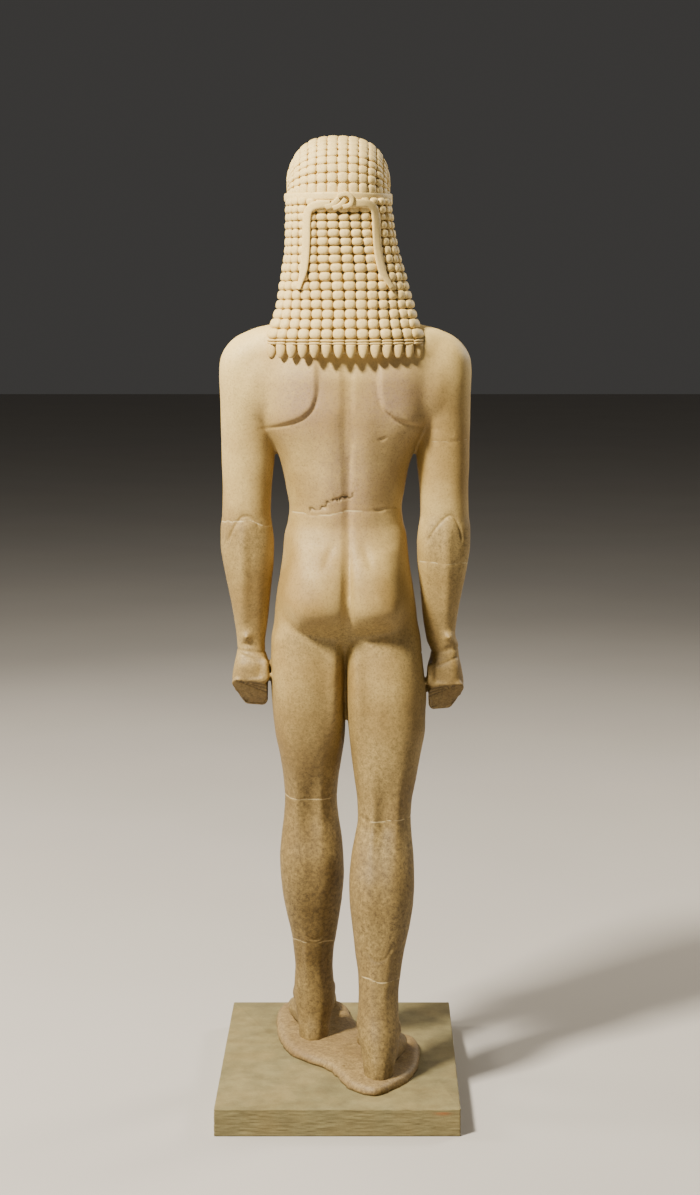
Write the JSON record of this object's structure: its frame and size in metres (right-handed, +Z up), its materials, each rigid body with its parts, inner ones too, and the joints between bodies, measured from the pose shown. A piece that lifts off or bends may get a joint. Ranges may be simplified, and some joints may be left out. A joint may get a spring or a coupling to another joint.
{
  "type": "life-size archaic marble kouros on a stone slab",
  "caption": "Archaic standing youth in marble, left foot forward, arms at the sides, long beaded hair tied with a fillet, on a rough plinth let into a stone slab.",
  "frame": {"origin": "centre of the slab's underside", "axes": "+Z up; the figure faces -Y and its left side is +X"},
  "size_m": [0.5322, 0.7, 2.0204],
  "materials": {
    "marble": "weathered fine-grained marble, smoothed with abrasives, warm beige patina",
    "slab_stone": "tooled limestone"
  },
  "bodies": {
    "root": {"marble_figure": "marble", "stone_slab": "slab_stone"}
  },
  "joints": []
}
